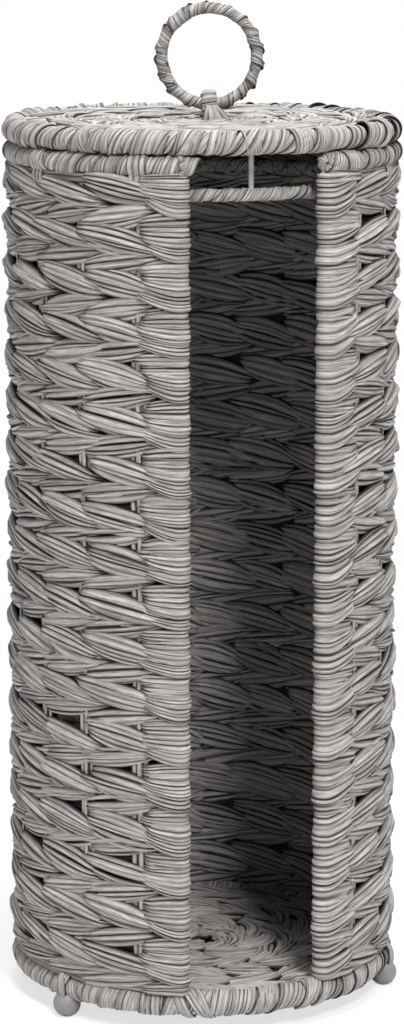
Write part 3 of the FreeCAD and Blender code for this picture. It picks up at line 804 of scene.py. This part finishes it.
def wind_rim(ribbons, spine, start, end, half, band, slant, step, cross_slant, margin=RIM_MARGIN):
    """A rim's winding, with bands that cross it at every step but for a margin at its ends."""
    reach = half - WINDING_SKIN
    wind(ribbons, spine, start, end, (reach, reach), band, slant)
    places = uneven_places(ribbons.rng, start + margin, end - margin, step)
    crossing_bands(ribbons, spine, places, reach, cross_slant)


def round_tube(spine, place, turn, reach):
    """Points on a wound ring's skin, and the way they face: a turn of 0 is outermost, a quarter on top."""
    centre, out, up = spine(place)
    facing = swing(turn, out, up)
    return centre + np.asarray(reach).reshape(-1, 1) * facing, facing


def turn_between(first, last, rings):
    """Turns round a tube between two angles in degrees."""
    return np.linspace(math.radians(first), math.radians(last), rings)


PLUG_WINDING = dict(band=4.2 * MM, slant=9.0 * MM)


def plug_ring():
    """The locating ring under the lid."""
    radius, height, half = ring_of("plug_binding")
    ribbons = Ribbons(330)
    reach = half - WINDING_SKIN
    wind(ribbons, ring_spine(radius, height), 0.0, FULL_TURN * radius, (reach, reach), **PLUG_WINDING)
    ribbons.piece("plug_winding", "lid", "ribbon_winding", "plug_binding")


ROSETTE_PLEATS = 8
ROSETTE_FALL = turn_between(100, 9, 12)
ROSETTE_SWIRL = 0.9
ROSETTE_DIMPLE = 1.0 * MM
ROSETTE_LAP_SHARE = 1.3
ROSETTE_RIBBON = dict(folds=2, fold_height=0.4 * MM, crown=0.2 * MM, tilt=0.3 * MM)


def rosette(ribbons, centre, pole, reach):
    """The closed end of a winding: pleats that swirl together to a dark point."""
    side = unit(np.cross(pole, UP))
    crest = np.cross(side, pole)
    fallen = (ROSETTE_FALL[0] - ROSETTE_FALL) / ROSETTE_FALL[0]
    depth = reach - ROSETTE_DIMPLE * ease(2.0 * fallen - 1.0)
    half = ROSETTE_LAP_SHARE * math.pi * reach * np.sin(ROSETTE_FALL) / ROSETTE_PLEATS
    for number in range(ROSETTE_PLEATS):
        turn = FULL_TURN * number / ROSETTE_PLEATS + ROSETTE_SWIRL * fallen
        facing = swing(ROSETTE_FALL, pole, swing(turn, side, crest))
        ribbons.add(centre + column(depth) * facing, facing, half, **ROSETTE_RIBBON)


TIE_SPACING = 2.4 * MM
TIE_TURN = turn_between(110, -55, 14)
TIE_LIFT = 0.2 * MM
TIE_DROP = np.linspace(1.5 * MM, 9.0 * MM, 6)
TIE_STAND_OFF = 0.9 * MM
TIE_LEAN_SHARE = 0.1
TIE_WIDTHS = (2.4 * MM, 3.2 * MM)
TIE_RIBBON = dict(folds=1, fold_height=0.35 * MM, crown=0.2 * MM, thickness=0.5 * MM)


def rim_ties(ribbons, spine, radius, half):
    """Strands that tie the rim to every second upright, over its front and down on to the wall."""
    drop = column(TIE_DROP)
    for side, first in ((-1, 0), (1, 1)):
        for stake in STAKE_ANGLES[first::2]:
            for beside in (-1.0, 0.0, 1.0):
                angle = side * stake + TIE_SPACING * beside / radius
                place = np.full(len(TIE_TURN), angle * radius)
                over, facing = round_tube(spine, place, TIE_TURN, half + TIE_LIFT)
                out = outward_at(angle)
                down = over[-1] - drop * UP + (TIE_STAND_OFF - TIE_LEAN_SHARE * drop) * out
                path = np.concatenate([over, down])
                outward = np.concatenate([facing, np.tile(out, (len(down), 1))])
                ribbons.add(path, outward, ribbons.rng.uniform(*TIE_WIDTHS) / 2, **TIE_RIBBON)


TOP_WINDING = dict(band=7.0 * MM, slant=8.0 * MM, step=26.0 * MM, cross_slant=15.0 * MM)
# How far each rim end's swirl is turned outward from the slot, by side
TOP_END_SHARES = {-1: -0.5, 1: 0.9}
TOP_END_SKIN = 0.2 * MM


def top_rim():
    """The rim over the wall, closed by a swirl of pleats at each slot post."""
    radius, height, half = ring_of("top_binding")
    spine = ring_spine(radius, height)
    ribbons = Ribbons(300)
    first, last = POST_ANGLE * radius, (FULL_TURN - POST_ANGLE) * radius
    wind_rim(ribbons, spine, first, last, half, **TOP_WINDING)
    for side, outward_share in TOP_END_SHARES.items():
        out, to_slot = slot_directions(side)
        pole = unit(to_slot + outward_share * out)
        rosette(ribbons, radius * out + height * UP, pole, half - TOP_END_SKIN)
    rim_ties(ribbons, spine, radius, half)
    ribbons.piece("top_rim_winding", "basket", "ribbon_winding", "top_binding")


BASE_WINDING = dict(band=8.0 * MM, slant=9.0 * MM, step=24.0 * MM, cross_slant=16.0 * MM, margin=0.0)
# The slot posts' last ribbons: where each starts beside its post, how far it runs on, and its width
POST_ENDS = np.array([(4.0, 9.0, 4.4), (0.0, 13.0, 5.2), (-5.0, 8.0, 4.0)]) * MM
POST_END_TURN = turn_between(125, -75, 20)
POST_END_LIFT = 0.1 * MM
POST_END_RIBBON = dict(folds=3, fold_height=0.45 * MM, crown=0.4 * MM)


def base_rim():
    """The base's rim, with the slot posts' last ribbons crossing over it."""
    radius, height, half = ring_of("base_binding")
    spine = ring_spine(radius, height)
    ribbons = Ribbons(310)
    wind_rim(ribbons, spine, 0.0, FULL_TURN * radius, half, **BASE_WINDING)
    share = np.linspace(0.0, 1.0, len(POST_END_TURN))
    for side in (-1, 1):
        for start, run, width in POST_ENDS:
            place = side * (POST_ANGLE * radius + start - run * share)
            path, facing = round_tube(spine, place, POST_END_TURN, half + POST_END_LIFT)
            ribbons.add(path, facing, width / 2, **POST_END_RIBBON)
    ribbons.piece("base_rim_winding", "basket", "ribbon_winding", "base_binding")


LID_WINDING = dict(band=8.5 * MM, slant=13.0 * MM, step=22.0 * MM, cross_slant=17.0 * MM)
LOOSE_ANGLE = math.radians(45)
LOOSE_GAP = 7.0 * MM
LOOSE_TURN = turn_between(190, -100, 26)
LOOSE_SKIN = 0.3 * MM
LOOSE_BULGE = 1.8 * MM
LOOSE_BACK = 2.5 * MM
LOOSE_SWEEP = 4.5 * MM
LOOSE_HALF = 1.9 * MM
LOOSE_RIBBON = dict(folds=2, fold_height=0.4 * MM, crown=0.4 * MM, tilt=0.3 * MM)


def lid_rim():
    """The lid's rim, with one loose turn that stands off it beside a gap."""
    radius, height, half = ring_of("lid_binding")
    spine = ring_spine(radius, height)
    ribbons = Ribbons(320)
    start = LOOSE_ANGLE * radius + LOOSE_GAP / 2
    end = start + FULL_TURN * radius - LOOSE_GAP
    wind_rim(ribbons, spine, start, end, half, **LID_WINDING)
    arch = np.sin(math.pi * np.linspace(0.0, 1.0, len(LOOSE_TURN)))
    place = start - LOOSE_BACK + LOOSE_SWEEP * arch
    path, facing = round_tube(spine, place, LOOSE_TURN, half - LOOSE_SKIN + LOOSE_BULGE * arch)
    ribbons.add(path, facing, LOOSE_HALF, **LOOSE_RIBBON)
    ribbons.piece("lid_rim_winding", "lid", "ribbon_winding", "lid_binding")


# The woven base and lid

DISC_SPOKES = 16
DISC_COURSES = 3
DISC_INNER = 7.0 * MM
DISC_EDGE = 1.0 * MM
DISC_SKIN = 0.8 * MM
DISC_CROWN = 0.5 * MM
DISC_RINGS = 12
# As shares of a course's width: where a leaf starts and ends, and its own width
DISC_LEAF_SHARES = ((0.05, 0.34, 0.58), (0.95, 0.42, 0.7))
# As shares of the step between spokes: how far a leaf reaches before and past its spoke
DISC_START_SHARE = 1.05
DISC_SCATTER_SHARE = 0.1
DISC_END_SHARE = 0.5
# The strands in a leaf on the upper face and on the lower one
DISC_STRANDS = {1.0: 2, -1.0: 1}
# The disc's core ribbon carries painted shade all along it, as it lies between the two woven faces
DISC_CORE_RIBBON = dict(folds=8, fold_height=0.5 * MM, crown=0.0, shade=0.4)
HUB_LIFT = 1.2 * MM
HUB_WINDING = dict(band=4.0 * MM, slant=1.5 * MM, seam=0.0)


def disc_face(middle, face):
    """Places on one face of a disc. Their level is the distance from the axis."""
    def place(angle, level, rise):
        return polar(angle, level, middle + face * rise)
    return place


def woven_disc(name, panel, hoop, body, seed):
    """A flat disc twined round its spokes, on both faces."""
    low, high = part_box(panel)
    middle = (low.z + high.z) / 2
    bulge = (high.z - low.z) / 2 - DISC_SKIN
    outer = ring_of(hoop)[0] - DISC_EDGE
    pitch = (outer - DISC_INNER) / DISC_COURSES
    ribbons = Ribbons(seed)
    for face, strands in DISC_STRANDS.items():
        place = disc_face(middle, face)
        for course in range(DISC_COURSES):
            spokes = DISC_SPOKES if course > 0 else DISC_SPOKES // 2
            step = FULL_TURN / spokes
            near = DISC_INNER + course * pitch
            for spoke in range(spokes):
                for start_share, end_share, width_share in DISC_LEAF_SHARES:
                    scatter = ribbons.rng.uniform(-DISC_SCATTER_SHARE, DISC_SCATTER_SHARE)
                    start = (spoke + DISC_START_SHARE + scatter) * step
                    angles = (start, (spoke - DISC_END_SHARE) * step)
                    levels = (near + start_share * pitch, near + end_share * pitch)
                    width = width_share * pitch
                    stitch(ribbons, place, angles, levels, bulge, width, strands, DISC_CROWN, DISC_RINGS)
    core = polar(np.linspace(0.0, FULL_TURN, 73), (DISC_INNER + outer) / 2, middle)
    upward = np.tile(UP, (len(core), 1))
    ribbons.add(core, upward, (outer - DISC_INNER) / 2, **DISC_CORE_RIBBON)
    hub_radius, hub_height, hub_half = ring_of(panel.replace("panel", "hub"))
    reach = hub_half + HUB_LIFT
    hub = ring_spine(hub_radius, hub_height)
    wind(ribbons, hub, 0.0, FULL_TURN * hub_radius, (reach, reach), **HUB_WINDING)
    ribbons.piece(name, body, "ribbon_weave", panel)


# Handle, loop and feet

HANDLE_SKIN = 0.75 * MM
HANDLE_WINDING = dict(band=5.6 * MM, slant=7.0 * MM)
BROAD_BAND_ANGLE = math.radians(130)
BROAD_BAND_LIFT = 0.4 * MM
BROAD_BAND = dict(width=9.0 * MM, slant=3.0 * MM, folds=3, fold_height=0.2 * MM, tilt=0.2 * MM)


def handle_ring():
    """The ring handle, wound with a spiral of ribbon, with one broad band."""
    low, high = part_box("handle_binding")
    centre = np.array((low + high) / 2)
    radius = centre[2] - HANDLE_PIVOT[2]
    half = (high.z - low.z) / 2 - radius

    def spine(length):
        out = swing(np.asarray(length) / radius, HANDLE_SIDE, UP)
        return centre + radius * out, out, np.broadcast_to(HANDLE_FRONT, out.shape)

    ribbons = Ribbons(400)
    reach = half - HANDLE_SKIN
    start = -math.pi / 2 * radius
    wind(ribbons, spine, start, start + FULL_TURN * radius, (reach, reach), **HANDLE_WINDING)
    broad_reach = reach + BROAD_BAND_LIFT
    wrap(ribbons, spine, BROAD_BAND_ANGLE * radius, reaches=(broad_reach, broad_reach), **BROAD_BAND)
    ribbons.piece("handle_winding", "handle", "ribbon_winding", "handle_binding")


LOOP_HALF = 1.6 * MM
LOOP_WINDING = dict(reaches=(0.9 * MM, 2.7 * MM), band=6.0 * MM, slant=2.0 * MM)
LOOP_ROOT = 1.5 * MM
# The ribbons that spread from the loop's front: how far aside and ahead each ends, and its width
SKIRT = np.array([(-1.5, 1.0, 3.4), (1.5, 2.6, 3.8), (4.5, 3.2, 3.8), (7.5, 2.4, 3.6)]) * MM
SKIRT_STAND_OFF = 1.6 * MM
SKIRT_GATHER_SHARE = 0.3
SKIRT_HEAD_DROP = 0.5 * MM
SKIRT_TOE_LIFT = 1.2 * MM
SKIRT_BELLY = 0.8 * MM
SKIRT_HEAD_SHARE = 0.7
SKIRT_RIBBON = dict(folds=2, fold_height=0.4 * MM, crown=0.4 * MM)


def handle_loop():
    """The loop on the lid that holds the ring, bound with ribbon that spreads at its foot."""
    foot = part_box("lid_panel")[1].z - LOOP_ROOT
    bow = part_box("handle_staple")[1].z - LOOP_HALF - HANDLE_PIVOT[2]
    turn = np.linspace(0.0, math.pi, 24)
    leg = np.linspace(foot, HANDLE_PIVOT[2], 10)[:-1] - HANDLE_PIVOT[2]
    outs = np.concatenate([np.full(len(leg), bow), bow * np.cos(turn), np.full(len(leg), -bow)])
    ups = np.concatenate([leg, bow * np.sin(turn), leg[::-1]])
    points = HANDLE_PIVOT + column(outs) * HANDLE_FRONT + column(ups) * UP
    outward = np.concatenate([
        np.tile(HANDLE_FRONT, (len(leg), 1)),
        swing(turn, HANDLE_FRONT, UP),
        np.tile(-HANDLE_FRONT, (len(leg), 1)),
    ])
    spine, length = line_spine(points, outward)
    ribbons = Ribbons(410)
    wind(ribbons, spine, 0.0, length, **LOOP_WINDING)
    t = np.linspace(0.0, 1.0, 14)
    spread = SKIRT_HEAD_SHARE + (1.0 - SKIRT_HEAD_SHARE) * t
    front = HANDLE_PIVOT + (bow + SKIRT_STAND_OFF) * HANDLE_FRONT
    for aside, ahead, width in SKIRT:
        head = front + SKIRT_GATHER_SHARE * aside * HANDLE_SIDE - SKIRT_HEAD_DROP * UP
        toe = front + ahead * HANDLE_FRONT + aside * HANDLE_SIDE
        toe[2] = foot + SKIRT_TOE_LIFT
        path = head + (toe - head) * column(t) + SKIRT_BELLY * column(np.sin(np.pi * t)) * HANDLE_FRONT
        ribbons.add(path, np.tile(HANDLE_FRONT, (len(t), 1)), width / 2 * spread, **SKIRT_RIBBON)
    ribbons.piece("handle_loop", "lid", "ribbon_winding", "handle_staple")


FEET = ("foot_left", "foot_right", "foot_rear")
FOOT_OVERLAP = 1.5 * MM
FOOT_TOP_RISE = 4.0 * MM
FOOT_BELLY_ROOM = 1.0 * MM
FOOT_STAND_OFF = 2.5 * MM
FOOT_BELLY_LOSS = 1.7 * MM
FOOT_END_SHARE = 0.7
# The two ribbons at each foot: how far each leans, its width, and how far it lies over the other
FOOT_LAYERS = np.array([(-1.2, 5.0, 0.0), (1.0, 4.2, 0.5)]) * MM
FOOT_RIBBON = dict(folds=3, fold_height=0.5 * MM, crown=0.6 * MM, thickness=0.8 * MM)


def foot_ribbons():
    """A twisted ribbon over the base rim that binds each foot's wire."""
    ribbons = Ribbons(420)
    rim_radius, rim_height, rim_half = ring_of("base_binding")
    t = np.linspace(0.0, 1.0, 20)
    fullness = FOOT_END_SHARE + (1.0 - FOOT_END_SHARE) * np.sin(math.pi * t)
    for name in FEET:
        angle = bearing(name)
        ball_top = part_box(name)[1].z
        level = ball_top - FOOT_OVERLAP + (rim_height + rim_half + FOOT_TOP_RISE - ball_top) * t
        from_rim = (level - rim_height) / (rim_half + FOOT_BELLY_ROOM)
        belly = np.sqrt(np.clip(1.0 - from_rim ** 2, 0.0, 1.0))
        radius = rim_radius + FOOT_STAND_OFF + (rim_half - FOOT_BELLY_LOSS) * belly
        outward = outward_at(np.full(len(t), angle))
        for lean, width, lift in FOOT_LAYERS:
            path = polar(angle + lean / rim_radius * np.cos(math.pi * t), radius + lift, level)
            ribbons.add(path, outward, width / 2 * fullness, **FOOT_RIBBON)
    ribbons.piece("foot_ribbons", "basket", "ribbon_winding", "foot_wraps")


# Stage, light and camera

def paint_frame():
    """Finishes for the CAD pieces that show as they are."""
    for name, thing in frame["nodes"].items():
        thing.data.materials.clear()
        thing.data.materials.append(ball_plastic if name in FEET else wire_paint)


WHITE = (1.0, 1.0, 1.0, 1.0)
FLOOR_GREY = (0.88, 0.88, 0.88, 1.0)
FLOOR_HALF = 12.0
# From where to where the floor turns to pure white, and how white it is before and after
FLOOR_FADE = {"From Min": 0.08, "From Max": 0.45, "To Min": 0.7, "To Max": 1.0}
WORLD_STRENGTH = 0.15
# Each light's place, the place it shines on, its width in metres and its power in watts
LIGHTS = {
    "key": ((0.1, -1.9, 2.3), (0.0, 0.0, 0.2), 0.6, 70.0),
    "top": ((0.0, -0.35, 2.6), (0.0, 0.0, 0.3), 0.8, 58.0),
    "fill": ((-1.9, -1.1, 0.9), (0.0, 0.0, 0.2), 1.2, 8.0),
    "back": ((0.5, 2.0, 1.5), (0.0, 0.0, 0.2), 1.2, 34.0),
}
CAMERA_DISTANCE = 1.4
CAMERA_TURN = math.radians(16.7)
CAMERA_TILT = math.radians(11.02)
CAMERA_HEIGHT = 0.4772
CAMERA_LENS = 117.8
CAMERA_SENSOR = 36.0


def stage_floor():
    """A pale floor that keeps the shadow and fades to white in the camera's view."""
    size = FLOOR_HALF
    corners = [(-size, -size, 0), (size, -size, 0), (size, size, 0), (-size, size, 0)]
    mesh = bpy.data.meshes.new("floor")
    mesh.from_pydata(corners, [], [(0, 1, 2, 3)])
    floor = bpy.data.objects.new("floor", mesh)
    bpy.context.scene.collection.objects.link(floor)
    material, nodes, links = new_material("floor_white")
    shader = nodes["Principled BSDF"]
    shader.inputs["Base Color"].default_value = FLOOR_GREY
    shader.inputs["Roughness"].default_value = 0.9
    glow = new_node(nodes, "Emission", {"Strength": 1.0})
    path = new_node(nodes, "LightPath")
    place = new_node(nodes, "NewGeometry")
    distance = new_node(nodes, "VectorMath", operation="LENGTH")
    links.new(place.outputs["Position"], distance.inputs[0])
    fade = new_node(nodes, "MapRange")
    fade.interpolation_type = "SMOOTHSTEP"
    for name, value in FLOOR_FADE.items():
        fade.inputs[name].default_value = value
    links.new(distance.outputs["Value"], fade.inputs["Value"])
    seen = new_node(nodes, "Math", operation="MULTIPLY")
    links.new(fade.outputs["Result"], seen.inputs[0])
    links.new(path.outputs["Is Camera Ray"], seen.inputs[1])
    mix = new_node(nodes, "MixShader")
    links.new(seen.outputs["Value"], mix.inputs["Fac"])
    links.new(shader.outputs["BSDF"], mix.inputs[1])
    links.new(glow.outputs["Emission"], mix.inputs[2])
    links.new(mix.outputs["Shader"], nodes["Material Output"].inputs["Surface"])
    mesh.materials.append(material)


def light_world():
    """A dim even light, behind which the camera sees white."""
    world = bpy.data.worlds.new("studio")
    bpy.context.scene.world = world
    world.use_nodes = True
    nodes, links = world.node_tree.nodes, world.node_tree.links
    light = nodes["Background"]
    light.inputs["Color"].default_value = WHITE
    light.inputs["Strength"].default_value = WORLD_STRENGTH
    white = new_node(nodes, "Background", {"Color": WHITE, "Strength": 1.0})
    path = new_node(nodes, "LightPath")
    mix = new_node(nodes, "MixShader")
    seen = new_node(nodes, "Math", operation="MAXIMUM")
    links.new(path.outputs["Is Camera Ray"], seen.inputs[0])
    links.new(path.outputs["Is Glossy Ray"], seen.inputs[1])
    links.new(seen.outputs["Value"], mix.inputs["Fac"])
    links.new(light.outputs["Background"], mix.inputs[1])
    links.new(white.outputs["Background"], mix.inputs[2])
    links.new(mix.outputs["Shader"], nodes["World Output"].inputs["Surface"])


def area_light(name, place, target, size, power):
    light = bpy.data.lights.new(name, "AREA")
    light.shape = "DISK"
    light.size = size
    light.energy = power
    lamp = bpy.data.objects.new(name, light)
    lamp.location = place
    aim = np.array(target) - np.array(place)
    lamp.rotation_euler = Vector(aim).to_track_quat("-Z", "Y").to_euler()
    bpy.context.scene.collection.objects.link(lamp)


def photo_camera():
    """The photograph's view: a long lens, a little above the lid and turned to the left of the slot."""
    data = bpy.data.cameras.new("camera")
    data.sensor_width = CAMERA_SENSOR
    data.lens = CAMERA_LENS
    camera = bpy.data.objects.new("camera", data)
    camera.location = polar(-CAMERA_TURN, CAMERA_DISTANCE, CAMERA_HEIGHT)
    camera.rotation_euler = (math.pi / 2 - CAMERA_TILT, 0.0, -CAMERA_TURN)
    bpy.context.scene.collection.objects.link(camera)
    bpy.context.scene.camera = camera


paint_frame()
stake_sleeves()
wall_weave()
top_rim()
base_rim()
lid_rim()
plug_ring()
woven_disc("base_weave", "base_panel", "base_hoop", "basket", 340)
woven_disc("lid_weave", "lid_panel", "lid_hoop", "lid", 350)
handle_ring()
handle_loop()
foot_ribbons()
stage_floor()
light_world()
for light_name, light_values in LIGHTS.items():
    area_light(light_name, *light_values)
photo_camera()
bpy.context.scene.view_settings.view_transform = "Standard"
